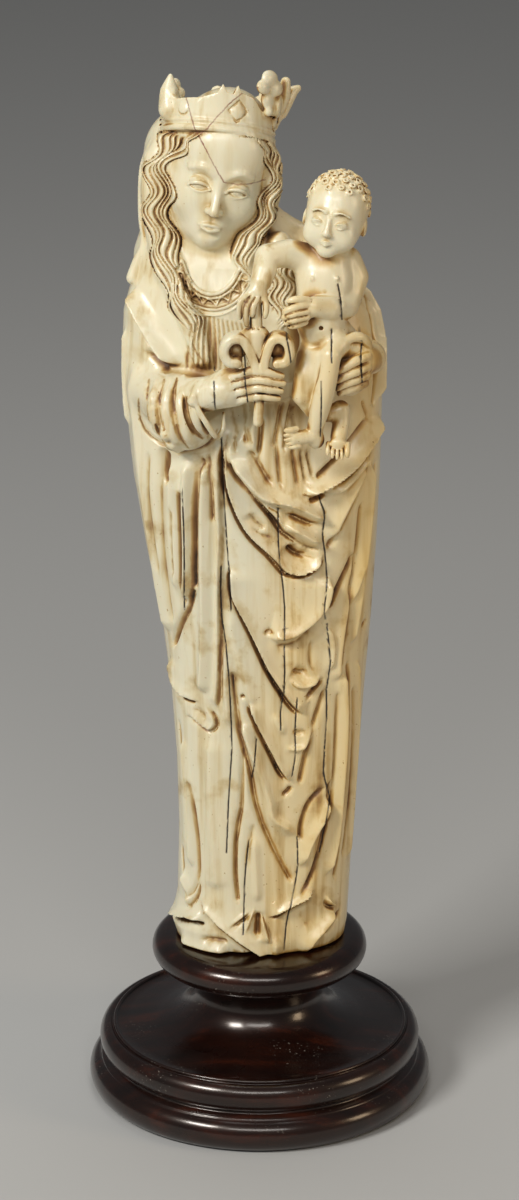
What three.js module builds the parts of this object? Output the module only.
// A carved ivory statuette of a crowned mother with a child and a lily, on a turned stand of dark wood.
// Millimetres, +Z up. The origin is the centre of the stand's underside and -Y is the front.
import * as THREE from "three";

// Driving dimensions
const STAND_HEIGHT = 45.1;
const STAND_RADIUS = 46.7;
const DISC_RADIUS = 29.25;
const FIELD_RADIUS = 39.2;
const NECK_RADIUS = 17;
const SEAT_GAP = 0.3;
// The carving's heights are given above a level 2.4 mm under the stand.
const CARVING_LEVEL = 2.4;
const FIGURE_FOOT = STAND_HEIGHT + SEAT_GAP + CARVING_LEVEL;
const CELL = 0.95;
const FIGURE_TRIANGLES = 7300;
const FIGURE_BOX = new THREE.Box3(new THREE.Vector3(-42, -40, 44), new THREE.Vector3(40, 30, 298));
const FAR = 6;

// Signed distances of simple forms, each with the box that it can reach

const clamp01 = (t) => Math.min(1, Math.max(0, t));
const ease = (t) => clamp01(t) ** 2 * (3 - 2 * clamp01(t));
const blendMin = (a, b, k) => Math.min(a, b) - (Math.max(k - Math.abs(a - b), 0) / k) ** 2 * (k / 4);

function boxAround(points, reach) {
  return new THREE.Box3().setFromPoints(points.map((p) => new THREE.Vector3(...p))).expandByScalar(reach);
}

// A rope of round-ended segments through points, its radius going evenly through radii.
function rope(points, radii) {
  const at = (i) => (radii.length === 1 ? radii[0] : sample(radii, i / (points.length - 1)));
  const bones = points.slice(1).map((b, i) => bone(points[i], b, at(i), at(i + 1)));
  return {
    box: boxAround(points, Math.max(...radii)),
    distance: (x, y, z) => bones.reduce((d, s) => Math.min(d, s(x, y, z)), FAR),
  };
}

function sample(values, t) {
  const f = clamp01(t) * (values.length - 1);
  const i = Math.min(values.length - 2, Math.floor(f));
  return values[i] + (values[i + 1] - values[i]) * (f - i);
}

function bone([ax, ay, az], [bx, by, bz], ra, rb) {
  const ux = bx - ax, uy = by - ay, uz = bz - az;
  const length2 = ux * ux + uy * uy + uz * uz || 1;
  return (x, y, z) => {
    const t = clamp01(((x - ax) * ux + (y - ay) * uy + (z - az) * uz) / length2);
    return Math.hypot(x - ax - ux * t, y - ay - uy * t, z - az - uz * t) - ra - (rb - ra) * t;
  };
}

// Points evenly spaced along a smooth curve, each with as many numbers as those given.
function smooth(points, steps) {
  const curve = new THREE.CatmullRomCurve3(points.map(([a, b, c = 0]) => new THREE.Vector3(a, b, c)));
  return curve.getSpacedPoints(steps).map((p) => p.toArray().slice(0, points[0].length));
}

// A smooth rope: the points are joined by a curve first.
const curl = (points, radii, steps = 4 * points.length) => rope(smooth(points, steps), radii);

// An ellipsoid with half sizes size, turned by degrees about x, y and z.
function egg(at, size, turn = [0, 0, 0]) {
  const back = new THREE.Matrix4().makeRotationFromEuler(eulerOf(turn)).invert();
  const e = back.elements;
  const least = Math.min(...size);
  return {
    box: boxAround([at], Math.max(...size)),
    distance: (x, y, z) => {
      const px = x - at[0], py = y - at[1], pz = z - at[2];
      const q = [0, 1, 2].map((i) => (e[i] * px + e[4 + i] * py + e[8 + i] * pz) / size[i]);
      const k0 = Math.hypot(...q);
      const k1 = Math.hypot(q[0] / size[0], q[1] / size[1], q[2] / size[2]);
      return k1 < 1e-9 ? -least : (k0 * (k0 - 1)) / k1;
    },
  };
}

const eulerOf = ([x, y, z]) =>
  new THREE.Euler(...[x, y, z].map(THREE.MathUtils.degToRad), "ZYX");

// A frame that places local points and forms, such as a head's features, in the figure.
function frameAt(at, turn) {
  const matrix = new THREE.Matrix4().makeRotationFromEuler(eulerOf(turn)).setPosition(...at);
  const e = matrix.clone().invert().elements;
  const place = (p) => new THREE.Vector3(...p).applyMatrix4(matrix).toArray();
  const lay = (form) => ({
    box: form.box.clone().applyMatrix4(matrix),
    distance: (x, y, z) => {
      const q = [0, 1, 2].map((i) => e[i] * x + e[4 + i] * y + e[8 + i] * z + e[12 + i]);
      return form.distance(...q);
    },
  });
  return { place, lay };
}

// A block of clay on a regular grid: forms are added and cut, then its skin is taken off as a mesh.
class Clay {
  constructor(box, cell) {
    this.lo = box.min;
    this.cell = cell;
    const size = box.getSize(new THREE.Vector3());
    this.n = [size.x, size.y, size.z].map((s) => Math.ceil(s / cell) + 1);
    this.field = new Float32Array(this.n[0] * this.n[1] * this.n[2]).fill(FAR);
  }

  change(form, reach, change) {
    const [nx, ny, nz] = this.n;
    const first = form.box.min.clone().subScalar(reach).sub(this.lo).divideScalar(this.cell).floor();
    const last = form.box.max.clone().addScalar(reach).sub(this.lo).divideScalar(this.cell).ceil();
    for (let k = Math.max(0, first.z); k <= Math.min(nz - 1, last.z); k++)
      for (let j = Math.max(0, first.y); j <= Math.min(ny - 1, last.y); j++)
        for (let i = Math.max(0, first.x); i <= Math.min(nx - 1, last.x); i++) {
          const at = i + nx * (j + ny * k);
          const d = form.distance(
            this.lo.x + i * this.cell, this.lo.y + j * this.cell, this.lo.z + k * this.cell);
          this.field[at] = change(this.field[at], d);
        }
    return this;
  }

  add(form, blend = 0.8) {
    return this.change(form, blend + 2 * this.cell, (a, d) => blendMin(a, d, blend));
  }

  cut(form, blend = 0.5) {
    return this.change(form, blend + 2 * this.cell, (a, d) => -blendMin(-a, d, blend));
  }

  // How far forward the clay reaches at x and z, as a y.
  front(x, z, low = -38, high = 4) {
    const [nx, ny] = this.n;
    const i = Math.round((x - this.lo.x) / this.cell);
    const k = Math.round((z - this.lo.z) / this.cell);
    const at = (j) => this.field[i + nx * (j + ny * k)];
    for (let j = Math.ceil((low - this.lo.y) / this.cell); this.lo.y + j * this.cell < high; j++)
      if (at(j) < 0) return this.lo.y + this.cell * (j - 1 + at(j - 1) / (at(j - 1) - at(j)));
    return high;
  }

  // Points (x, z) laid on the clay's front and raised from it.
  onFront(line, raised, low, high) {
    return line.map(([x, z]) => [x, this.front(x, z, low, high) - raised, z]);
  }

  // Fills every hollow that the air outside can't reach.
  fillHollows() {
    const [nx, ny] = this.n;
    const steps = [1, -1, nx, -nx, nx * ny, -nx * ny];
    const open = new Uint8Array(this.field.length);
    const front = [0];
    open[0] = 1;
    while (front.length) {
      const at = front.pop();
      for (const step of steps) {
        const next = at + step;
        if (this.field[next] >= 0 && !open[next]) {
          open[next] = 1;
          front.push(next);
        }
      }
    }
    this.field.forEach((d, at) => {
      if (d >= 0 && !open[at]) this.field[at] = -0.1;
    });
    return this;
  }
}

// The skin of the clay, by marching tetrahedra: each cube of the grid is six of them round one diagonal.
const CUBE_PATHS = [[1, 3], [1, 5], [2, 3], [2, 6], [4, 5], [4, 6]];
const EDGE_MARGIN = 0.06;

function skin(clay) {
  const [nx, ny, nz] = clay.n;
  const total = nx * ny * nz;
  const corner = [...Array(8).keys()].map((c) => (c & 1) + nx * (((c >> 1) & 1) + ny * (c >> 2)));
  const points = [];
  const faces = [];
  const made = new Map();
  const vertex = (inside, outside) => {
    const key = inside * total + outside;
    if (!made.has(key)) {
      const [a, b] = [clay.field[inside], clay.field[outside]];
      const t = Math.min(1 - EDGE_MARGIN, Math.max(EDGE_MARGIN, a / (a - b)));
      const at = (n) => [n % nx, Math.floor(n / nx) % ny, Math.floor(n / (nx * ny))];
      const [p, q] = [at(inside), at(outside)];
      const lo = clay.lo.toArray();
      made.set(key, points.length);
      points.push(p.map((v, i) => lo[i] + clay.cell * (v + (q[i] - v) * t)));
    }
    return made.get(key);
  };
  const face = (a, b, c, away) => {
    const [p, q, r] = [a, b, c].map((i) => points[i]);
    const u = q.map((v, i) => v - p[i]);
    const w = r.map((v, i) => v - p[i]);
    const n = [u[1] * w[2] - u[2] * w[1], u[2] * w[0] - u[0] * w[2], u[0] * w[1] - u[1] * w[0]];
    const facing = n[0] * away[0] + n[1] * away[1] + n[2] * away[2];
    faces.push(facing > 0 ? [a, b, c] : [a, c, b]);
  };
  for (let k = 0; k < nz - 1; k++)
    for (let j = 0; j < ny - 1; j++)
      for (let i = 0; i < nx - 1; i++) {
        const base = i + nx * (j + ny * k);
        const nodes = corner.map((o) => base + o);
        const solid = nodes.filter((n) => clay.field[n] < 0).length;
        if (solid === 0 || solid === 8) continue;
        for (const [p, q] of CUBE_PATHS) {
          const tet = [0, p, q, 7].map((c) => nodes[c]);
          const inside = tet.filter((n) => clay.field[n] < 0);
          const outside = tet.filter((n) => clay.field[n] >= 0);
          if (!inside.length || !outside.length) continue;
          const away = spread(inside, outside, nx, ny);
          if (inside.length === 1) face(...outside.map((o) => vertex(inside[0], o)), away);
          else if (outside.length === 1) face(...inside.map((n) => vertex(n, outside[0])), away);
          else {
            const ring = [[0, 0], [0, 1], [1, 1], [1, 0]].map(([a, b]) => vertex(inside[a], outside[b]));
            face(ring[0], ring[1], ring[2], away);
            face(ring[0], ring[2], ring[3], away);
          }
        }
      }
  return { points, faces };
}

// The direction from a tetrahedron's inside nodes to its outside ones.
function spread(inside, outside, nx, ny) {
  const at = (n) => [n % nx, Math.floor(n / nx) % ny, Math.floor(n / (nx * ny))];
  const mean = (nodes) => [0, 1, 2].map((axis) =>
    nodes.reduce((sum, n) => sum + at(n)[axis], 0) / nodes.length);
  const a = mean(inside);
  return mean(outside).map((v, i) => v - a[i]);
}

// Evens out the steps that the grid leaves, without shrinking the form.
function evenOut({ points, faces }, rounds = 5) {
  const beside = points.map(() => new Set());
  faces.forEach((f) => f.forEach((v, i) => beside[v].add(f[(i + 1) % 3])));
  for (const amount of Array(rounds).fill([0.5, -0.52]).flat()) {
    const before = points.map((p) => p.slice());
    points.forEach((p, v) => {
      const ring = [...beside[v]].map((w) => before[w]);
      const mean = [0, 1, 2].map((i) => ring.reduce((sum, q) => sum + q[i], 0) / ring.length);
      p.forEach((value, i) => { p[i] = value + (mean[i] - value) * amount; });
    });
  }
  return { points, faces };
}

// Edge collapse by quadric error: the flattest places lose their vertices first.
class Thinner {
  constructor({ points, faces }) {
    this.points = points.map((p) => p.slice());
    this.faces = faces.map((f) => f.slice());
    this.alive = this.faces.length;
    this.around = points.map(() => new Set());
    this.quadric = points.map(() => new Float64Array(10));
    this.faces.forEach((f, i) => {
      const plane = this.plane(f);
      f.forEach((v) => {
        this.around[v].add(i);
        addPlane(this.quadric[v], plane);
      });
    });
    this.version = new Int32Array(points.length);
    this.heap = [];
    this.faces.forEach((f) => f.forEach((a, i) => {
      const b = f[(i + 1) % 3];
      if (a < b) this.offer(a, b);
    }));
  }

  plane([a, b, c], moved = -1, to = null) {
    const [p, q, r] = [a, b, c].map((v) => (v === moved ? to : this.points[v]));
    const u = [q[0] - p[0], q[1] - p[1], q[2] - p[2]];
    const w = [r[0] - p[0], r[1] - p[1], r[2] - p[2]];
    const n = [u[1] * w[2] - u[2] * w[1], u[2] * w[0] - u[0] * w[2], u[0] * w[1] - u[1] * w[0]];
    const size = Math.hypot(...n) || 1e-12;
    const unit = n.map((v) => v / size);
    return [...unit, -(unit[0] * p[0] + unit[1] * p[1] + unit[2] * p[2]), size / 2];
  }

  offer(a, b) {
    const q = this.quadric[a].map((v, i) => v + this.quadric[b][i]);
    const [p, r] = [this.points[a], this.points[b]];
    const middle = p.map((v, i) => (v + r[i]) / 2);
    const choices = [best(q), middle, p, r].filter(Boolean).filter((c) => near(c, middle, p, r));
    const costs = choices.map((c) => error(q, c));
    const i = costs.indexOf(Math.min(...costs));
    const length = Math.hypot(p[0] - r[0], p[1] - r[1], p[2] - r[2]);
    const stamp = this.version[a] + this.version[b];
    push(this.heap, { cost: costs[i] + 1e-4 * length, a, b, to: choices[i], stamp });
  }

  collapse({ a, b, to }) {
    const shared = [...this.around[a]].filter((f) => this.around[b].has(f));
    if (shared.length !== 2) return false;
    const beside = (v) =>
      new Set([...this.around[v]].flatMap((f) => this.faces[f]).filter((w) => w !== a && w !== b));
    const [na, nb] = [beside(a), beside(b)];
    if ([...na].filter((v) => nb.has(v)).length !== 2 || na.size + nb.size < 7) return false;
    for (const [v, others] of [[a, this.around[a]], [b, this.around[b]]])
      for (const f of others)
        if (!shared.includes(f)) {
          const before = this.plane(this.faces[f]);
          const after = this.plane(this.faces[f], v, to);
          const turn = before[0] * after[0] + before[1] * after[1] + before[2] * after[2];
          if (turn < 0.35 || after[4] < 1e-3) return false;
        }
    shared.forEach((f) => {
      this.faces[f].forEach((v) => this.around[v].delete(f));
      this.faces[f] = null;
    });
    this.around[b].forEach((f) => {
      this.faces[f] = this.faces[f].map((v) => (v === b ? a : v));
      this.around[a].add(f);
    });
    this.around[b].clear();
    this.points[a] = to;
    this.quadric[a] = this.quadric[a].map((v, i) => v + this.quadric[b][i]);
    this.alive -= 2;
    this.version[b] = -1e6;
    this.version[a] += 1e4;
    const ring = new Set([...this.around[a]].flatMap((f) => this.faces[f]).filter((v) => v !== a));
    ring.forEach((v) => this.offer(Math.min(a, v), Math.max(a, v)));
    return true;
  }

  thinTo(count) {
    while (this.alive > count && this.heap.length) {
      const next = pop(this.heap);
      const fresh = this.version[next.a] + this.version[next.b] === next.stamp;
      if (fresh && this.around[next.a].size && this.around[next.b].size) this.collapse(next);
    }
    return this.geometry();
  }

  geometry() {
    const numbers = new Map();
    const position = [];
    const index = this.faces.filter(Boolean).flat().map((v) => {
      if (!numbers.has(v)) {
        numbers.set(v, numbers.size);
        position.push(...this.points[v]);
      }
      return numbers.get(v);
    });
    const made = new THREE.BufferGeometry();
    made.setAttribute("position", new THREE.Float32BufferAttribute(position, 3));
    made.setIndex(index);
    return made;
  }
}

function addPlane(q, [a, b, c, d, area]) {
  const terms = [a * a, a * b, a * c, a * d, b * b, b * c, b * d, c * c, c * d, d * d];
  terms.forEach((t, i) => { q[i] += t * area; });
}

function error(q, [x, y, z]) {
  return q[0] * x * x + 2 * q[1] * x * y + 2 * q[2] * x * z + 2 * q[3] * x + q[4] * y * y
    + 2 * q[5] * y * z + 2 * q[6] * y + q[7] * z * z + 2 * q[8] * z + q[9];
}

// The point of least error, or null where the quadric is flat.
function best(q) {
  const m = new THREE.Matrix3().set(q[0], q[1], q[2], q[1], q[4], q[5], q[2], q[5], q[7]);
  if (Math.abs(m.determinant()) < 1e-3) return null;
  return new THREE.Vector3(-q[3], -q[6], -q[8]).applyMatrix3(m.invert()).toArray();
}

function near(c, middle, p, r) {
  const reach = Math.hypot(p[0] - r[0], p[1] - r[1], p[2] - r[2]);
  return Math.hypot(c[0] - middle[0], c[1] - middle[1], c[2] - middle[2]) <= reach;
}

function push(heap, item) {
  let i = heap.length;
  heap.push(item);
  while (i && heap[(i - 1) >> 1].cost > item.cost) {
    heap[i] = heap[(i - 1) >> 1];
    i = (i - 1) >> 1;
  }
  heap[i] = item;
}

function pop(heap) {
  const top = heap[0];
  const last = heap.pop();
  if (!heap.length) return top;
  let i = 0;
  for (;;) {
    let child = 2 * i + 1;
    if (child >= heap.length) break;
    if (child + 1 < heap.length && heap[child + 1].cost < heap[child].cost) child++;
    if (heap[child].cost >= last.cost) break;
    heap[i] = heap[child];
    i = child;
  }
  heap[i] = last;
  return top;
}

// The robed body: an oval column whose sections change with height
// Each row is a height, the left and right edge, and the depth in front and behind.
const SECTIONS = [
  [44, -21.4, 22.4, 16.6, 15.5], [52, -23.6, 23.8, 17.4, 15.6], [60, -22.2, 24.2, 16.6, 15.8],
  [80, -21.7, 25.2, 17.0, 16.6], [100, -22.2, 26.6, 17.6, 17.6], [120, -23.6, 28.0, 18.2, 18.4],
  [140, -26.0, 29.6, 19.0, 19.0], [160, -29.8, 30.8, 20.0, 19.4], [180, -33.0, 31.6, 20.6, 19.4],
  [200, -35.0, 32.0, 19.6, 19.0], [214, -35.6, 31.4, 17.6, 18.4], [224, -35.2, 29.4, 15.6, 17.4],
  [232, -33.0, 25.0, 13.6, 16.0], [238, -29.0, 18.4, 11.6, 14.2], [243, -24.0, 9.0, 9.0, 11.8],
  [248, -18.0, 0.0, 6.0, 8.0],
];
const SQUARENESS = 2.25;
const ROUND = 25;
const RELIEF_CELL = 0.5;

function sectionAt(z) {
  const i = Math.max(0, SECTIONS.findLastIndex((s) => s[0] <= z));
  const [a, b] = [SECTIONS[i], SECTIONS[Math.min(i + 1, SECTIONS.length - 1)]];
  const t = b[0] > a[0] ? clamp01((z - a[0]) / (b[0] - a[0])) : 0;
  const [left, right, front, behind] = [1, 2, 3, 4].map((n) => a[n] + (b[n] - a[n]) * t);
  return { middle: (left + right) / 2, half: (right - left) / 2, front, behind };
}

// How far round the body a point seen from the front at (x, z) lies, in millimetres from the front line.
function aroundOf(x, z) {
  const s = sectionAt(z);
  const across = Math.min(0.999, Math.max(-0.999, (x - s.middle) / s.half));
  return ROUND * Math.atan2(across, (1 - Math.abs(across) ** SQUARENESS) ** (1 / SQUARENESS));
}

// Folds, as strokes on the body: height and width on the left of the stroke's way, then on its right, and
// its points (x, z) seen from the front. A negative height is a furrow; two different ones make an edge.
const FOLDS = [
  // Mantle hanging from the arm at the left
  [1.3, 4, 1.3, 3, [[-30.5, 214], [-31.6, 200], [-29.6, 178], [-26.6, 155], [-23.6, 136]]],
  [-1.0, 0.9, -1.0, 0.9, [[-25, 189.5], [-25.6, 178], [-25.2, 165], [-23.8, 150], [-22.4, 140]]],
  [-2.2, 1.3, -2.2, 1.0, [[-24.8, 192], [-24.6, 186], [-24.2, 180]]],
  [1.0, 1.6, 1.0, 1.6, [[-22.4, 189], [-22.6, 175], [-22, 160], [-21, 149]]],
  [1.5, 1.3, 1.5, 1.2, [[-18, 190], [-18.6, 178], [-18.4, 165], [-18.6, 154], [-19.3, 147]]],
  [-2.1, 1.3, -2.1, 1.3, [[-14.6, 191], [-15.8, 181], [-16.6, 171], [-16.8, 162], [-17, 151.5]]],
  [-1.7, 0.9, -1.7, 0.9, [[-16.9, 154], [-18.6, 147], [-20.6, 142], [-23.4, 132.4]]],
  [1.7, 1.6, 1.7, 1.8, [[-13.8, 190], [-14.1, 178], [-13.9, 160], [-13.8, 140], [-14.6, 121]]],
  [-1.7, 1.0, 1.1, 2.2, [[-10.2, 194], [-9.9, 180], [-9.6, 168], [-10, 155], [-10, 140], [-10.3, 128],
    [-11, 117]]],
  // Its lower edge and the turned-back corner
  [1.0, 4.0, -1.7, 1.0, [[-23.6, 131], [-22.9, 125], [-21.8, 121.6], [-19.5, 120], [-15, 119.6]]],
  [-1.6, 0.9, 1.5, 2.6, [[-14.8, 119.8], [-12.9, 117.4], [-11.5, 114.6], [-12.9, 112.2], [-14.7, 112.6],
    [-16.9, 114], [-18.8, 114.7], [-20.6, 113.5]]],
  // Gathers of the dress under the belt
  [-1.5, 1.0, -1.5, 0.8, [[-3.4, 193], [-0.6, 188.8], [1.6, 185], [3.6, 181.4]]],
  // The mantle's edge drawn across the front, and the rolls above it
  [1.4, 2.2, -1.6, 1.0, [[-9.8, 195.5], [-9, 187], [-8, 181], [-5.1, 173], [-2.3, 168.4], [1, 164.9],
    [4.4, 161.2], [6.3, 158.7], [9.3, 157.6], [13.1, 158.2], [16, 161], [17.2, 163.7]]],
  [1.3, 1.4, -2.0, 1.2, [[-9.4, 192], [-6, 186.8], [-2.3, 181.7], [1, 177.2], [3.9, 173.6], [6.3, 169.9],
    [9.2, 167.4], [12, 165.4], [17, 163.4]]],
  [2.5, 1.3, 2.5, 1.2, [[-8.2, 191], [-5.1, 187.6], [-2.3, 183.8], [0.4, 180.4], [3, 179], [6.4, 178.1],
    [9.2, 176.8], [12, 175], [15.3, 172.9], [18.2, 171.7]]],
  [2.3, 1.2, 2.3, 1.2, [[4.6, 174], [7, 171.8], [9.6, 169.8], [13, 167.2], [17.2, 164.6]]],
  [1.4, 1.2, 2.5, 1.1, [[31.4, 198], [27.6, 191.8], [23.4, 186.6], [19.6, 183.4], [15.4, 181.2],
    [9.6, 179]]],
  [1.7, 0.9, 1.7, 1.0, [[28.8, 190], [25, 184.6], [21.6, 181.4], [19.4, 179.8], [16.6, 178.2]]],
  [-1.9, 0.8, -1.9, 0.8, [[14, 182.8], [18.7, 187], [21.5, 189.6], [24.9, 193.8], [29.4, 198.4]]],
  [1.5, 2.0, 1.5, 1.4, [[28, 187], [23.6, 178], [20, 171], [17.8, 165]]],
  [-1.5, 0.9, -1.5, 0.9, [[30, 190], [26.6, 181.6], [23.4, 175], [20.1, 168.2], [17.3, 162.6]]],
  [1.7, 0.7, 1.7, 0.8, [[4.6, 169], [5.2, 163.6], [6.8, 160.6], [9.4, 159], [12.6, 159.4],
    [15.4, 161.8]]],
  // Long folds of the skirt, falling from the left to the right
  [1.5, 3.0, -1.5, 1.2, [[-7.9, 161], [-7.2, 153], [-5.6, 148.6], [-3.3, 143.8], [-0.4, 137],
    [2.3, 130.6], [5.6, 124.8], [8.3, 120.6], [11.1, 117.6], [12.8, 117]]],
  [0.8, 2.0, 0.8, 2.0, [[-7.9, 148], [-6, 137], [-3, 126], [-1, 118]]],
  [2.1, 2.8, 2.1, 1.0, [[0.6, 141.2], [3.2, 140.4], [6.9, 140.6], [9.4, 141.8], [13.2, 145], [16.2, 149],
    [17.6, 158]]],
  [-1.8, 0.9, -1.8, 1.1, [[25.6, 162.4], [23.4, 157.6], [20.6, 151.6], [17.6, 146]]],
  [1.3, 1.4, 1.3, 1.4, [[27.6, 161], [25, 152], [22.2, 146], [20.6, 136], [20, 124]]],
  [1.2, 1.0, 1.2, 1.2, [[16.2, 144], [18.3, 139], [18.7, 133.5], [17.6, 127]]],
  [-1.7, 1.4, -1.7, 1.4, [[8.2, 131], [10.6, 129.6], [13.4, 130.2]]],
  [1.5, 1.0, 1.5, 0.7, [[6.4, 129.8], [8.4, 127.4], [10.8, 126], [14, 126.8], [17.2, 128.8]]],
  [-1.6, 1.3, -1.6, 1.3, [[8.2, 113], [11, 112.2], [12.6, 113.2]]],
  [1.6, 1.0, 1.6, 0.8, [[5, 109.4], [8.6, 107.8], [11.6, 108.4], [13.4, 111.6], [15.2, 116.4]]],
  [-1.3, 0.8, -1.3, 0.8, [[17.8, 125.4], [15, 116.6], [12.4, 106.4], [10.4, 96]]],
  [0.9, 1.6, 0.9, 1.6, [[3, 120], [5, 115], [7.6, 110.4]]],
  // Lower skirt
  [-1.6, 1.3, -1.6, 1.0, [[-7.5, 131], [-6.4, 118.5], [-4.7, 109.8], [-2.6, 101], [-1.5, 93.8],
    [0.7, 86.2], [3.4, 79.6], [6.7, 72.8], [9.6, 67.6]]],
  [1.5, 1.6, 1.5, 1.4, [[-5, 117], [-2.4, 109], [0.4, 101], [2.6, 93.6], [4.2, 88]]],
  [1.4, 2.2, -1.4, 1.0, [[-3.5, 122.8], [-2, 118.4], [0.2, 113.2], [2.9, 107.2], [5.6, 101.4],
    [8.8, 97]]],
  [1.4, 0.9, 1.4, 1.8, [[2.4, 97], [3.2, 90], [4, 87.6], [6.7, 85.4], [10.2, 82.2]]],
  [-1.5, 0.8, -1.5, 0.8, [[18.6, 96.2], [15.4, 94], [12.8, 90.6], [11.2, 85], [11.2, 79.6]]],
  [1.8, 1.1, 1.8, 1.1, [[18.6, 93.6], [16.4, 87.6], [14, 83], [12, 78], [10.4, 72]]],
  [-1.4, 0.8, -1.4, 0.8, [[19.2, 98.4], [18, 87], [16.2, 77], [13.4, 68.6], [9.8, 63.6]]],
  [1.5, 1.2, 1.5, 1.2, [[21.4, 130], [21.8, 112], [21, 96], [19.8, 80], [17.4, 68]]],
  [1.0, 1.2, 1.0, 1.2, [[25.6, 132], [25.4, 110], [24.4, 90], [23.2, 70]]],
  [1.3, 1.2, 1.3, 1.4, [[29, 186], [27.6, 165], [25.6, 148], [23.4, 134]]],
  [-1.1, 0.8, -1.1, 0.8, [[30.4, 186], [29.2, 166], [27, 150], [25, 136]]],
  [-1.1, 0.8, -1.1, 0.8, [[-19, 97], [-17.2, 85], [-16.4, 76], [-16.6, 68], [-19.4, 59.4]]],
  [1.1, 1.2, 1.1, 1.2, [[-20.2, 109], [-18.9, 94], [-18.2, 80], [-18, 69]]],
  [1.1, 3, 1.1, 3, [[-12.6, 111], [-12, 92], [-11.6, 76], [-11.2, 64]]],
  [0.9, 1.4, 0.9, 1.4, [[-1.4, 84], [-0.8, 72], [-0.4, 61]]],
  // Broken folds of the hem on the ground
  [1.3, 2.0, -1.5, 1.2, [[-16.2, 62], [-12.9, 58.8], [-9.6, 56], [-4.5, 51.2]]],
  [-1.5, 1.3, -1.5, 1.3, [[-0.6, 60], [-0.8, 55.4], [-0.6, 52]]],
  [-1.5, 1.2, -1.5, 1.2, [[2, 59.4], [6.2, 61.6], [10, 64], [14.3, 66.8]]],
  [-1.5, 1.0, -1.5, 1.0, [[21, 57.6], [18.1, 55.4], [15.2, 51.6]]],
  [1.4, 1.6, 1.4, 1.6, [[4, 61.4], [7, 56.4], [9.6, 51]]],
  [1.3, 1.8, 1.3, 1.8, [[13.4, 63], [12.4, 56], [12, 51]]],
  [1.2, 1.4, 1.2, 1.4, [[21.4, 64], [19, 60], [16, 57]]],
  [-2.8, 1.5, -2.8, 1.5, [[-21.6, 54.8], [-18.4, 54.2], [-13, 53.2]]],
  [1.4, 1.3, 1.4, 1.3, [[-21.4, 61], [-20.6, 58], [-18, 57.6], [-14.4, 57]]],
  [-1.3, 1.2, -1.3, 1.2, [[-13, 53.4], [-9, 52.8], [-6.2, 51.4]]],
  [1.0, 1.4, 1.0, 1.4, [[-8.6, 140], [-8.4, 126], [-7.6, 112]]],
  // Shoulder and upper arm at the left
  [2.8, 0.9, 2.2, 2.4, [[-31.8, 232.1], [-31.5, 229.5], [-29.9, 226.4], [-28.1, 223.6], [-25.5, 219.4],
    [-22.9, 215.8], [-20.3, 212.4]]],
  [-1.6, 1.4, -1.6, 1.2, [[-33.2, 230], [-32, 225.6], [-29.4, 221], [-26, 216.6]]],
  [-1.8, 1.4, -1.8, 1.2, [[-30.2, 216.4], [-26.4, 214.2], [-22, 212]]],
  [-1.1, 0.8, -1.1, 0.8, [[-30.6, 209.8], [-26, 210.4], [-21.4, 211]]],
  [0.9, 1.0, 0.9, 1.0, [[-34.4, 222], [-34.6, 206], [-33.6, 192]]],
  // Mantle behind the child
  [-1.3, 0.8, -1.3, 0.8, [[24.4, 232], [28, 226], [29.6, 218], [30, 208], [29.4, 199]]],
  [1.4, 1.0, 1.4, 1.2, [[26.4, 233], [30.2, 224], [31, 212], [30.6, 200]]],
];
const FOLD_HEIGHT = 1.15;
const FOLD_LEAST_WIDTH = 1.6;
const BACK_FOLDS = 9;
const BACK_FOLD_HEIGHT = 1.1;

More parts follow.
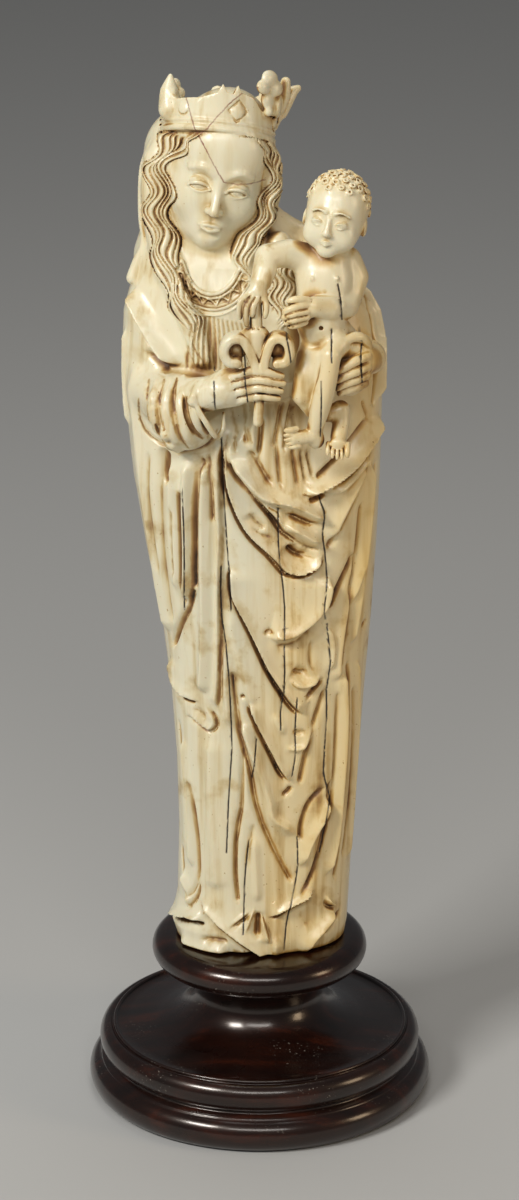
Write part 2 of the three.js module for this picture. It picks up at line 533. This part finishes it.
// The relief of all folds, painted once on a flat map of the body's surface.
class Relief {
  constructor() {
    this.half = ROUND * Math.PI;
    this.low = 44;
    this.nu = Math.ceil((2 * this.half) / RELIEF_CELL) + 1;
    this.nz = Math.ceil((250 - this.low) / RELIEF_CELL) + 1;
    this.raised = new Float32Array(this.nu * this.nz);
    this.sunk = new Float32Array(this.nu * this.nz);
    FOLDS.forEach((fold) => this.stroke(...fold));
    this.backFolds();
  }

  stroke(leftHeight, leftWidth, rightHeight, rightWidth, points) {
    const [left, right] = [leftWidth, rightWidth].map((w) => 1.3 * Math.max(w, FOLD_LEAST_WIDTH));
    const line = smooth(points, 30).map(([x, z]) => [aroundOf(x, z), z]);
    const reach = 3 * Math.max(left, right);
    const nearest = new Map();
    line.slice(1).forEach((b, n) => {
      const a = line[n];
      const [du, dz] = [b[0] - a[0], b[1] - a[1]];
      const length2 = du * du + dz * dz || 1e-9;
      const i0 = Math.floor((Math.min(a[0], b[0]) - reach + this.half) / RELIEF_CELL);
      const i1 = Math.ceil((Math.max(a[0], b[0]) + reach + this.half) / RELIEF_CELL);
      const k0 = Math.floor((Math.min(a[1], b[1]) - reach - this.low) / RELIEF_CELL);
      const k1 = Math.ceil((Math.max(a[1], b[1]) + reach - this.low) / RELIEF_CELL);
      for (let k = Math.max(0, k0); k <= Math.min(this.nz - 1, k1); k++)
        for (let i = Math.max(0, i0); i <= Math.min(this.nu - 1, i1); i++) {
          const pu = i * RELIEF_CELL - this.half - a[0];
          const pz = k * RELIEF_CELL + this.low - a[1];
          const t = clamp01((pu * du + pz * dz) / length2);
          const away = Math.hypot(pu - du * t, pz - dz * t);
          const at = i + this.nu * k;
          const side = Math.sign(pu * dz - pz * du);
          if (away < (nearest.get(at)?.away ?? reach))
            nearest.set(at, { away, side, along: (n + t) / (line.length - 1) });
        }
    });
    nearest.forEach(({ away, side, along }, at) => {
      const onRight = 0.5 + 0.5 * Math.max(-1, Math.min(1, side * away));
      const crest = Math.hypot(away, 0.9) - 0.9;
      const onLeft = leftHeight * Math.exp(-crest / left) * (1 - onRight);
      const full = onLeft + rightHeight * Math.exp(-crest / right) * onRight;
      const ends = ease(along / 0.15) * ease((1 - along) / 0.15) * ease((reach - away) / (0.5 * reach));
      const value = FOLD_HEIGHT * full * ends;
      this.raised[at] = -blendMin(-this.raised[at], -Math.max(value, 0), 0.5);
      this.sunk[at] = -blendMin(-this.sunk[at], -Math.max(-value, 0), 0.5);
    });
  }

  // Plain upright folds all over the back, which no one has seen.
  backFolds() {
    for (let k = 0; k < this.nz; k++)
      for (let i = 0; i < this.nu; i++) {
        const around = (i * RELIEF_CELL - this.half) / ROUND;
        const z = k * RELIEF_CELL + this.low;
        const behind = ease((Math.abs(around) - 1.75) / 0.5);
        const height = ease((z - 50) / 20) * ease((236 - z) / 40);
        const wave = Math.cos(BACK_FOLDS * around + 0.012 * (z - 60) + 0.5 * Math.sin(z / 34));
        this.raised[i + this.nu * k] += BACK_FOLD_HEIGHT * behind * height * (0.5 + wave / 2);
      }
  }

  at(u, z) {
    const fu = Math.min(this.nu - 1.001, Math.max(0, (u + this.half) / RELIEF_CELL));
    const fz = Math.min(this.nz - 1.001, Math.max(0, (z - this.low) / RELIEF_CELL));
    const [i, k] = [Math.floor(fu), Math.floor(fz)];
    const value = (at) => this.raised[at] - this.sunk[at];
    const row = (at) => value(at) + (value(at + 1) - value(at)) * (fu - i);
    const [low, high] = [row(i + this.nu * k), row(i + this.nu * (k + 1))];
    return low + (high - low) * (fz - k);
  }
}

function robe(relief) {
  return {
    box: new THREE.Box3(new THREE.Vector3(-39, -27, 40), new THREE.Vector3(37, 24, 249)),
    distance: (x, y, z) => {
      const s = sectionAt(z);
      const across = (x - s.middle) / s.half;
      const deep = y < 0 ? y / s.front : y / s.behind;
      const round = (Math.abs(across) ** SQUARENESS + Math.abs(deep) ** SQUARENESS) ** (1 / SQUARENESS);
      const flat = Math.hypot(x - s.middle, y);
      const side = round > 1e-3 ? flat * (1 - 1 / round) : -s.front;
      return Math.max(side - relief.at(ROUND * Math.atan2(across, -deep), z), z - 248);
    },
  };
}

// Head, neck and crown. The head's frame has its face towards -Y; it leans towards the child.
const HEAD = frameAt([-10, -1.5, 261.9], [2, 11.5, 0]);
const CROWN = frameAt([-10.8, 1, 269.6], [-21, 8, 4]);
const CROWN_RADIUS = 13.5;
const CROWN_DEPTH = 1.07;
const CROWN_FLARE = 1.1;
const CROWN_WALL = 1.05;
// The crown's upper edge: degrees round from the front, and the wall's height there
const CROWN_RIM = [
  [-180, 8], [-150, 9], [-120, 6.5], [-95, 9], [-66, 9.5], [-52, 7.2], [-24, 7.6], [-9, 9], [-5, 11.4],
  [-1, 9.4], [5, 9.2], [8, 11.4], [12, 9.6], [24, 9], [33, 7], [42, 5.4], [54, 5.4], [62, 8], [84, 10],
  [104, 9.5], [122, 6.5], [148, 9], [180, 8],
];

function addHead(clay) {
  const put = (form, blend) => clay.add(HEAD.lay(form), blend);
  clay.add(rope([[-10.4, 2.4, 230], [-10.6, 0.8, 243], [-10.6, 0, 254]], [10, 7.6, 7.4]), 3);
  put(egg([0, 2.6, 5], [12.7, 14.4, 15.4]), 1);
  put(egg([0, -1.6, -3.4], [12.1, 11.4, 14.6]), 2.5);
  put(egg([0, -6.8, 7.2], [9.2, 5.6, 7.4]), 4);
  put(egg([0, -6.8, -13.6], [6.2, 4.8, 5.2]), 4);
  put(egg([0, -9.8, -16], [2.5, 2.3, 2.1]), 2.5);
  put(egg([0, -9.2, -11.4], [3.6, 3, 3.2]), 3);
  for (const side of [-1, 1]) {
    put(egg([side * 6, -7.2, -6.6], [4.4, 4, 4.8]), 3);
    clay.cut(HEAD.lay(egg([side * 4.8, -14.4, -0.8], [3.6, 2.7, 2.2], [0, side * 5, side * 20])), 1.8);
    put(egg([side * 4.8, -10, -1.4], [3, 2.6, 1.9], [0, 0, side * 12]), 0.3);
    const brow = [[side * 2, -12.4, 2.1], [side * 4.8, -12.2, 3.4], [side * 8.2, -10.1, 2.2]];
    put(rope(brow, [0.7, 0.7, 0.4]), 2.4);
  }
  put(rope([[0, -11.6, 2.6], [0, -12.8, -1.8], [0, -14.5, -5.8], [0, -15, -7.2]],
    [0.9, 0.9, 1.1, 1.5]), 1.8);
  put(rope([[-2.6, -11.6, -12.2], [0, -12.4, -12.2], [2.6, -11.6, -12.2]], [0.8, 1.3, 0.8]), 0.6);
}

// The height of a table of pairs at a place between two of them.
function heightIn(table, at) {
  const i = Math.max(1, table.findIndex(([place]) => place >= at));
  const [[a, low], [b, high]] = [table[i - 1], table[i]];
  return low + (high - low) * clamp01((at - a) / (b - a));
}

function addCrown(clay) {
  const radius = (height) => CROWN_RADIUS + CROWN_FLARE * Math.min(1.2, Math.max(0, height / 8.2)) ** 2;
  const wall = (degrees, height, out = 0) => {
    const angle = THREE.MathUtils.degToRad(degrees);
    const r = radius(height) + out;
    return [r * Math.sin(angle), -r * Math.cos(angle) * CROWN_DEPTH, height];
  };
  const ring = (height, out) => [...Array(25).keys()].map((n) => wall(15 * n, height, out));
  const put = (form, blend) => clay.add(CROWN.lay(form), blend);
  // Lobes of a leaf: degrees to the side, height, outward, and half sizes across, through and up.
  const leaf = (angle, lobes) => lobes.forEach(([aside, height, out, ...size]) =>
    put(egg(wall(angle + aside, height, out), size, [0, 0, angle]), 0.7));
  put({
    box: new THREE.Box3(new THREE.Vector3(-19, -19, -2), new THREE.Vector3(19, 19, 14)),
    distance: (x, y, z) => {
      const side = Math.abs(Math.hypot(x, y / CROWN_DEPTH) - radius(z)) - CROWN_WALL;
      const angle = THREE.MathUtils.radToDeg(Math.atan2(x, -y));
      return Math.max(side, z - heightIn(CROWN_RIM, angle), -z - 0.6);
    },
  }, 0.35);
  put(rope(ring(-0.8, -2.6), [1.9]), 0.5);
  put(rope(ring(0.1, 0.7), [1]), 0.2);
  put(rope(ring(2.2, 0.7), [0.7]), 0.2);
  // The broken leaf at the left, a whole one, the one in profile, and those behind
  put(curl([wall(-68, 5, 0.2), wall(-68, 9, 0.2), wall(-64, 13, 0.7)], [3.2, 2.4, 0.7]), 0.8);
  leaf(-72, [[-8, 6.5, 0.6, 1.6, 1.1, 1.7], [9, 8.2, 0.4, 1.5, 1.1, 1.6]]);
  leaf(41, [[4, 6.4, 1.5, 1.4, 1.3, 1.4], [2, 9.4, 0.7, 1.4, 1.2, 2.4], [0, 12.8, 1.4, 2.5, 1.4, 2.9],
    [-7, 12, 1.4, 1.5, 1.2, 1.5], [8, 12.2, 1.6, 1.5, 1.2, 1.6], [0, 15.4, 1.4, 1.9, 1.2, 1.4]]);
  leaf(84, [[0, 7.5, 0.5, 2.8, 1.2, 3.2]]);
  const curling = [wall(83, 8, 0.6), wall(84, 11, 1.4), wall(85, 13.4, 2.8), wall(86, 14.6, 4.2)];
  put(curl(curling, [2.2, 2.1, 1.7, 1.1]), 0.6);
  put(curl([wall(74, 8.5, 0.6), wall(69, 12, 1.2), wall(66, 15, 1.6)], [1.5, 1.8, 1.3]), 0.5);
  for (const angle of [132, 178, -138])
    leaf(angle, [[0, 9, 0.4, 2.4, 1.2, 3], [-6, 11.6, 0.8, 1.5, 1.2, 1.6], [6, 11.6, 0.8, 1.5, 1.2, 1.6],
      [0, 13.8, 1.4, 1.8, 1.2, 1.6]]);
  // Round jewels and diamonds
  for (const angle of [-44, 110, -165, 12, 68, 155, -105])
    put(egg(wall(angle, 4.9, 0.6), [2.1, 1.2, 2.1], [0, 0, angle]), 0.2);
}

// Hair and veil. A tress is a sheaf of wavy strands between an inner and an outer edge (x, z), laid on
// the clay: its swing, its wavelength, and the two edges.
const TRESSES = [
  [1.2, 11.4,
   [[-14.6, 273.6], [-18.8, 269.4], [-22.2, 264.5], [-22.5, 260.5], [-22.4, 255.3], [-22.0, 250],
    [-21.2, 245.5], [-20.3, 241.5], [-19.2, 237.6], [-18.2, 234.4], [-17.0, 231.4], [-15.4, 228.4],
    [-14.3, 224.6], [-13.1, 220.1], [-11.8, 214.6]],
   [[-20.6, 274.4], [-26.0, 269.4], [-28.6, 263.6], [-29.2, 258.9], [-29.4, 253.6], [-29.2, 248.8],
    [-28.4, 244.3], [-27.4, 240.3], [-26.4, 236.8], [-25.2, 234.0], [-23.7, 231.2], [-22.5, 228],
    [-20.4, 223.9], [-18.7, 219.8], [-17.2, 214.2]]],
  [0.9, 9.4,
   [[-0.6, 271.6], [1.6, 267.6], [2.4, 263], [1.8, 258.7], [0.4, 255.3], [-1.2, 252.1], [-2.7, 248.9],
    [-5.0, 246], [-7.6, 243.6], [-8.0, 241.2], [-6.0, 239], [-4.4, 236], [-4.0, 232.6]],
   [[3.6, 269.6], [5.2, 265.4], [6.0, 261.5], [5.9, 257.8], [5.1, 254.4], [4.2, 251.5], [3.4, 248.4],
    [1.8, 245.6], [-0.4, 243.6], [-1.2, 241.6], [-1.2, 239.6], [-0.6, 236.6], [0, 232.6]]],
  [0.9, 7.4,
   [[2.6, 243], [2.2, 238], [2.8, 232.6], [3.6, 227.6], [3.8, 221.6]],
   [[7.6, 243], [9.2, 238], [10.2, 232.6], [9.8, 227.6], [8.0, 221.6]]],
];
const TRESS_STRANDS = 2;

function addTress(clay, swing, wavelength, inner, outer) {
  const steps = 40;
  const [a, b] = [smooth(inner, steps), smooth(outer, steps)];
  const length = Math.hypot(a[0][0] - a[steps][0], a[0][1] - a[steps][1]);
  const strands = [...Array(TRESS_STRANDS).keys()].map((n) => {
    const s = (n + 0.55) / (TRESS_STRANDS + 0.1);
    return a.map(([x, z], i) => {
      const [dx, dz] = [b[i][0] - x, b[i][1] - z];
      const wave = Math.sin((2 * Math.PI * length * i) / steps / wavelength + 0.8 * Math.sin(4 * s));
      const across = s + (swing * wave) / Math.hypot(dx, dz);
      return [x + dx * across, z + dz * across];
    });
  });
  const laid = strands.map((line) => clay.onFront(line, -0.8));
  laid.forEach((points) => clay.add(rope(points, [2, 2, 2, 1]), 0.3));
}

function addHairAndVeil(clay) {
  // The veil over the head, falling behind the hair to the shoulders
  clay.add(HEAD.lay(egg([-1.2, 5.6, 1], [13.8, 12.6, 16.4])), 2);
  clay.add(rope([[-17.4, 4.6, 264.4], [-18.8, 4.6, 256], [-19.1, 4.4, 249], [-19.4, 4, 243],
    [-21, 3.4, 237]],
    [12.3, 12.2, 11.8, 11.2, 11.6]), 3);
  clay.add(rope([[-8, 8, 262], [-6.6, 8.6, 252], [-4, 8, 245], [2, 6, 238]], [11, 9.6, 9.4, 9.6]), 5);
  clay.add(rope([[0, 5.4, 246.6], [6, 4.4, 245.4], [11, 2.4, 243], [16, -1, 238]],
    [2.4, 2.6, 3.2, 4.4]), 3);
  // Soft masses under the strands
  clay.add(rope([[-21.6, -2, 270], [-25.4, -2.2, 264], [-25.9, -2.4, 257], [-25.7, -3.4, 250],
    [-24.5, -5.4, 243], [-22.8, -8.2, 237]], [4, 4.4, 4.6, 4.6, 4.2, 3.8]), 1.5);
  clay.add(rope([[-22.6, -8.6, 236.4], [-20.2, -11.8, 231], [-17.4, -14.8, 224.6], [-14.8, -17.4, 216]],
    [3.6, 3.4, 3, 2.4]), 2);
  clay.add(rope([[1, -4.6, 269], [3.2, -4.4, 263], [2.6, -4.8, 256], [0.6, -5.8, 250], [-2.6, -8, 245],
    [-4.4, -9.6, 241], [-2.4, -11.4, 235.4]], [2.6, 2.8, 3, 3.2, 3, 2.8, 2.2]), 1.5);
  clay.add(rope([[5, -6, 243], [6, -8.4, 236], [6.4, -10.6, 229], [5.6, -12.6, 222]],
    [3.4, 4, 4.2, 3.4]), 2);
  TRESSES.forEach((tress) => addTress(clay, ...tress));
  const edge = [[-25.6, 0.4, 271], [-29.4, -1, 263.6], [-30.3, -1.2, 253], [-29.5, -1.2, 244],
    [-32.6, -2.4, 233]];
  clay.add(curl(edge, [1, 1.1, 1.1, 1.3, 1.8]), 0.5);
}

// The dress's neckline, as two moulded bands.
function addCollar(clay) {
  const inner = [[-19.9, 239.6], [-18, 235.2], [-15.5, 232.6], [-12.2, 231.8], [-9.4, 232.6],
    [-6.8, 234.9]];
  const outer = [[-20.9, 236.6], [-18, 230.6], [-15.2, 228.6], [-11.8, 228], [-8.1, 228.9],
    [-4.8, 231.2]];
  for (const line of [inner, outer])
    clay.add(rope(clay.onFront(smooth(line, 24), -0.2, -19, 4), [1.1]), 0.4);
}

// The mother's right arm: a wide sleeve, the hand, and the lily in it
function addSleeve(clay) {
  clay.add(rope([[-27, -8, 205], [-21.4, -16.6, 204], [-16.6, -19.6, 204.4]], [7.2, 7.8, 7]), 2);
  clay.add(egg([-18.2, -17.8, 200.4], [7.8, 8.6, 8.8], [0, 12, -12]), 2);
  clay.cut(egg([-7.4, -22.4, 200.4], [6, 6.2, 8.2], [0, 20, 0]), 0.4);
  clay.cut(egg([-10.6, -21.2, 204.2], [6.4, 5.6, 5.4], [0, 14, 0]), 0.4);
  const rim = [[-15.6, -24.4, 212.2], [-16.4, -26.6, 210.4], [-15, -27.8, 204.6], [-10.9, -25.4, 197.4]];
  clay.add(curl(rim, [0.7, 1, 1.1, 1]), 0.5);
  const furrows = [
    [[-24.4, 210.8], [-25.3, 207.7], [-25.5, 203.8], [-24.7, 200], [-22.3, 193]],
    [[-21.1, 211.1], [-21.8, 208.5], [-21.7, 204.8], [-20, 197], [-18.2, 193.6]],
    [[-17.7, 211.1], [-18.7, 207.8], [-18.6, 204.1], [-17, 199.9], [-14.4, 196.4]],
  ];
  for (const line of furrows) {
    const path = smooth(line, 16);
    const ridge = path.map(([x, z]) => [x + 1.7, z + 0.3]);
    clay.add(rope(clay.onFront(ridge, -0.9), [0.8, 1.9, 1.9, 0.8]), 0.9);
    clay.cut(rope(clay.onFront(path, 0), [0.4, 1.1, 1.1, 0.4]), 0.6);
  }
}

// Fingers side by side, each a smooth rope of one thickness, with a line cut between each two.
function addFingers(clay, fingers) {
  for (const [points, thick] of fingers) clay.add(curl(points, [thick, thick, 0.8 * thick]), 0.25);
  fingers.slice(1).forEach(([next, thick], n) => {
    const [one, two] = [smooth(fingers[n][0], 10), smooth(next, 10)];
    const between = one.map(([x, y, z], i) =>
      [(x + two[i][0]) / 2, (y + two[i][1]) / 2 - thick, (z + two[i][2]) / 2]);
    clay.cut(rope(between, [0.4]), 0.2);
  });
}

function addRightHand(clay) {
  clay.add(rope([[-18, -20.6, 207.2], [-13.4, -24.4, 208.6], [-9.6, -26.4, 210.2]],
    [4.3, 4.5, 4.5]), 0.4);
  clay.add(egg([-6.6, -26.4, 211.2], [5.6, 2.7, 5], [0, 8, -14]), 2);
  clay.add(egg([0.5, -27.2, 212.4], [5, 2.6, 4.6]), 1.5);
  addFingers(clay, [
    [[[-7, -27.8, 214.2], [-3.9, -29.7, 216], [-1.2, -31, 217], [2, -31.3, 216.6],
      [5.6, -29.9, 215.2]], 1.2],
    [[[-7.4, -28.3, 212.2], [-3.5, -30, 213.8], [-0.7, -31.4, 214.7], [2.2, -31.6, 214.4],
      [5.9, -30, 213.2]], 1.25],
    [[[-7, -28.2, 210], [-3, -29.9, 211.4], [-0.5, -31.2, 212.4], [2, -31.3, 212.1],
      [5.4, -29.9, 211.2]], 1.2],
    [[[-6, -27.6, 207.8], [-2.5, -29.4, 209.2], [-0.4, -30.4, 210], [1.9, -30.5, 209.8],
      [4.8, -29.4, 209.1]], 1.15],
  ]);
  clay.add(rope([[-0.4, -29, 202.6], [-0.1, -28.8, 207.6], [0.1, -28.6, 218]], [1.4]), 0.2);
}

// A fluted cup between two petals that roll outwards and down.
function addLily(clay) {
  clay.add(rope([[0, -29, 216.6], [-0.4, -29, 221], [-1, -29, 226]], [1.5, 2.2, 3]), 0.3);
  clay.add(egg([-1.2, -28.8, 226], [3.7, 2.7, 1.7]), 0.6);
  const petals = [
    [[-0.6, 216.8], [-1.6, 219.8], [-2.7, 222.6], [-4.2, 224.9], [-6.4, 225.3], [-8.4, 223.9],
     [-9, 221.4], [-7.7, 219.2], [-5.6, 218.9]],
    [[0.8, 216.8], [1.4, 219.8], [2.1, 222.6], [3.3, 224.9], [5.3, 225.4], [7.1, 224], [7.6, 221.4],
     [6.5, 219.2], [4.5, 218.8]],
  ];
  petals.forEach((petal, n) => {
    clay.add(egg([n ? 4.8 : -5.8, -27.6, 222], [3, 1.8, 3]), 0.4);
    for (const y of [-27.9, -29.4, -30.9]) clay.add(curl(petal.map(([x, z]) => [x, y, z]), [1.3]), 0.2);
  });
  clay.add(rope([[-0.9, -28.8, 226], [-0.9, -29.2, 230], [-0.9, -28.6, 234.4]], [1.8, 1.6, 1.5]), 0.3);
}

// The child, seated on the mother's left arm
const CHILD_HEAD = frameAt([19.4, -19, 254.9], [-1, 8, -14]);

function addChildHead(clay) {
  const put = (form, blend) => clay.add(CHILD_HEAD.lay(form), blend);
  put(egg([0, 1.6, 1.6], [8.2, 9.1, 9.1]), 0.6);
  put(egg([0, -1.2, -3], [7.1, 7.2, 7.6]), 2);
  put(egg([0, -6, -8.4], [2.3, 1.9, 1.8]), 1.6);
  for (const side of [-1, 1]) {
    put(egg([side * 3.7, -4.6, -4.8], [3, 2.9, 3]), 1.8);
    clay.cut(CHILD_HEAD.lay(egg([side * 3.1, -9.6, -0.6], [2.2, 1.6, 1.4])), 1.4);
    put(egg([side * 3.1, -6.8, -0.9], [1.8, 1.3, 1.2]), 0.4);
    put(egg([side * 7.5, 0.8, -2.6], [1.1, 1.8, 2.4], [0, 0, side * 20]), 0.4);
  }
  put(rope([[0, -7.8, 0.4], [0, -8.4, -1.6], [0, -8.9, -3.1]], [0.8, 0.9, 1.2]), 1.2);
  put(rope([[-1.2, -7.4, -5.8], [0, -7.8, -5.8], [1.2, -7.4, -5.8]], [0.7, 1, 0.7]), 0.6);
}

function addChild(clay) {
  const put = (points, radii, blend = 1) => clay.add(rope(points, radii), blend);
  const lump = (at, size, turn, blend) => clay.add(egg(at, size, turn), blend);
  addChildHead(clay);
  put([[18.8, -17.2, 248.4], [18.2, -18, 243.6]], [4.4, 4.7], 1.5);
  lump([16.4, -19.4, 238.4], [7.4, 5.6, 6.4], [0, 8, 0], 2);
  lump([15.6, -21.4, 228.2], [6.6, 6, 7], [0, 0, 0], 3);
  lump([18, -19.6, 221.4], [7.4, 6.6, 5.4], [0, 0, 0], 3);
  lump([15.4, -24.2, 226.4], [5, 4, 4.8], [0, 0, 0], 2);
  for (const x of [13.4, 19.6]) lump([x, -22, 239.6], [3.4, 3, 2.6], [0, 0, 0], 2);
  // Right arm, down to the lily
  put([[12.4, -18.4, 242.6], [7.6, -19.4, 244.4], [2.2, -22.2, 244.6]], [4, 3.7, 3.1], 1.5);
  put([[1.8, -22.6, 244.2], [1.3, -25, 241.6], [0.4, -26.7, 239.2], [-0.6, -27.8, 237.2]],
    [3, 3.1, 2.7, 2.1], 0.8);
  lump([-0.8, -28.2, 236], [2.9, 1.8, 2.3], [10, 0, 0], 0.7);
  addFingers(clay, [
    [[[-2.6, -28.7, 236.6], [-4.5, -29.8, 235], [-5.1, -30.1, 232.6], [-4.9, -29.8, 230.6]], 0.95],
    [[[-1.2, -29.2, 236], [-2.6, -30.8, 234], [-2.9, -30.9, 231.4], [-2.7, -30.4, 229.4]], 1.1],
    [[[1, -28.8, 236], [1.7, -29.8, 233.4], [1.4, -30, 230.9]], 0.95],
  ]);
  // Left arm, across the belly
  put([[22.2, -16, 241.4], [24, -16.8, 237.4], [23.2, -18.8, 233.8], [21.8, -21.4, 231.4]],
    [3.9, 3.8, 3.4, 3.2], 1.2);
  put([[21.8, -21.6, 231.2], [17.8, -26, 232], [13.8, -28.2, 233]], [3.3, 3.2, 2.6], 0.8);
  lump([11.2, -28.9, 232.4], [2.9, 2, 2.9], [0, 20, 10], 0.8);
  addFingers(clay, [
    [[[12.4, -29.4, 235], [9.4, -30.8, 235.7], [7.4, -30.8, 235.2]], 0.95],
    [[[12, -30.2, 233.3], [8.5, -32, 232.9], [6.4, -31.2, 231.8]], 1.2],
    [[[12, -30.2, 230.4], [8.9, -31.5, 229.9], [7.2, -30.8, 229.1]], 1.2],
  ]);
  // Right leg, its foot behind the left shin
  put([[15.4, -21, 221.4], [13.4, -24, 218.2], [12.4, -26, 214.4], [11.4, -27, 209.8]],
    [4.8, 4.1, 3.7, 3.2]);
  put([[11.4, -26.8, 209.2], [13.8, -25.4, 205], [17.6, -24.4, 203.4], [20.6, -24, 204]],
    [3, 2.6, 2.3, 2.2], 0.8);
  lump([15.4, -24.2, 213.4], [3.6, 3.8, 7.6], [0, 0, 0], 0.6);
  put([[20.8, -23.7, 204.4], [20.9, -24.9, 201.2], [20.3, -27.2, 198]], [2.2], 0.8);
  lump([20, -29.4, 195.8], [2.6, 1.8, 2.8], [34, 0, 0], 0.8);
  // Left leg, crossing in front
  put([[19.6, -21, 222.6], [19.4, -25.6, 222.2], [18.2, -28.8, 220.6]], [4.6, 3.8, 2.7], 1.2);
  put([[18, -29.2, 220], [17.5, -30.1, 215.8], [16.4, -30.1, 210.5], [15.3, -29.6, 206],
    [14.3, -29, 201.4]],
    [2.6, 2.5, 2.7, 2.5, 2.1], 0.6);
  lump([14.4, -28.2, 197.6], [2.2, 2.2, 2.4], [0, 0, 0], 0.8);
  put([[14, -28.8, 199], [11, -30, 198.8], [7.6, -31, 199]], [2.1, 1.9, 1.6], 0.8);
}

function addLeftHand(clay) {
  clay.add(rope([[28, -10, 214], [28.2, -17.4, 216], [27.2, -20.8, 216.8]], [4.6, 4.2, 3.8]), 1.5);
  clay.add(egg([25.9, -22.8, 216.8], [3.4, 2.6, 5.2], [0, 6, 24]), 1.2);
  clay.add(egg([23, -24.8, 213.6], [5.2, 2.4, 5.4], [0, 0, 20]), 0.6);
  addFingers(clay, [
    [[[27.4, -24.2, 218.6], [24.4, -26.8, 218.2], [21.8, -28, 217], [19.8, -28.2, 215.8]], 1.35],
    [[[27.4, -24.4, 216], [24.2, -27.2, 215.3], [21.6, -28.2, 214.4], [19.6, -28.4, 213.5]], 1.32],
    [[[27.3, -24.4, 213.6], [24, -27.1, 213], [21.6, -28, 212.2], [19.8, -28.2, 211.4]], 1.25],
    [[[26.9, -24, 211.3], [23.8, -26.6, 210.8], [22, -27.4, 210.4], [20.4, -27.6, 209.8]], 1.15],
  ]);
  clay.add(curl([[27.6, -22.4, 220.6], [26.6, -24, 223], [24.2, -25.6, 224.2], [19.9, -27.6, 222]],
    [1.4]), 0.3);
}

function carveFigure() {
  const clay = new Clay(FIGURE_BOX, CELL);
  clay.add(robe(new Relief()));
  addHead(clay);
  addHairAndVeil(clay);
  addCrown(clay);
  addCollar(clay);
  addSleeve(clay);
  addRightHand(clay);
  addLily(clay);
  addChild(clay);
  addLeftHand(clay);
  const below = new THREE.Box3(new THREE.Vector3(-60, -60, 30), new THREE.Vector3(60, 60, FIGURE_FOOT));
  clay.cut({ box: below, distance: (x, y, z) => z - FIGURE_FOOT }, 0.01);
  const carved = new Thinner(evenOut(skin(clay.fillHollows())));
  return carved.thinTo(FIGURE_TRIANGLES).translate(0, 0, -CARVING_LEVEL);
}

// A quarter or more of an oval moulding: its centre, half sizes, and the first and last angle in degrees.
function moulding(cx, cz, rx, rz, start, end, count) {
  return [...Array(count).keys()].map((n) => {
    const angle = THREE.MathUtils.degToRad(start + ((end - start) * n) / (count - 1));
    return [cx + rx * Math.cos(angle), cz + rz * Math.sin(angle)];
  });
}

// The turned stand, as one profile from the axis out and back
function turnedStand() {
  const profile = [
    [0, 0], [STAND_RADIUS - 4.3, 0],
    ...moulding(STAND_RADIUS - 3.7, 4.45, 3.7, 4.45, -70, 82, 6),
    [43.2, 9.3], [41.3, 10.1],
    ...moulding(40.6, 14.35, 3.2, 3.95, -66, 80, 6),
    [FIELD_RADIUS + 1.15, 17.9], [FIELD_RADIUS + 0.7, 18.6], [FIELD_RADIUS, 18.2],
    [28.6, 19.1], [23.4, 20.8], [19.4, 23.5], [NECK_RADIUS + 0.2, 26.9], [NECK_RADIUS, 29.2],
    [NECK_RADIUS + 0.6, 32.2], [19.4, 34.6], [24.2, 36.4],
    ...moulding(DISC_RADIUS - 4.25, STAND_HEIGHT - 4.3, 4.25, 4.3, -72, 72, 5),
    [DISC_RADIUS - 4.05, STAND_HEIGHT], [0, STAND_HEIGHT],
  ];
  return new THREE.LatheGeometry(profile.map((p) => new THREE.Vector2(...p)), 40).rotateX(Math.PI / 2);
}

function named(name, geometry, look) {
  geometry.computeVertexNormals();
  const mesh = new THREE.Mesh(geometry, new THREE.MeshStandardMaterial(look));
  mesh.name = name;
  return mesh;
}

const statuette = new THREE.Group();
statuette.add(named("ivory_figure", carveFigure(), { color: 0xe3d3ae, roughness: 0.38, metalness: 0 }));
statuette.add(named("turned_stand", turnedStand(), { color: 0x24120e, roughness: 0.3, metalness: 0 }));

export default statuette;
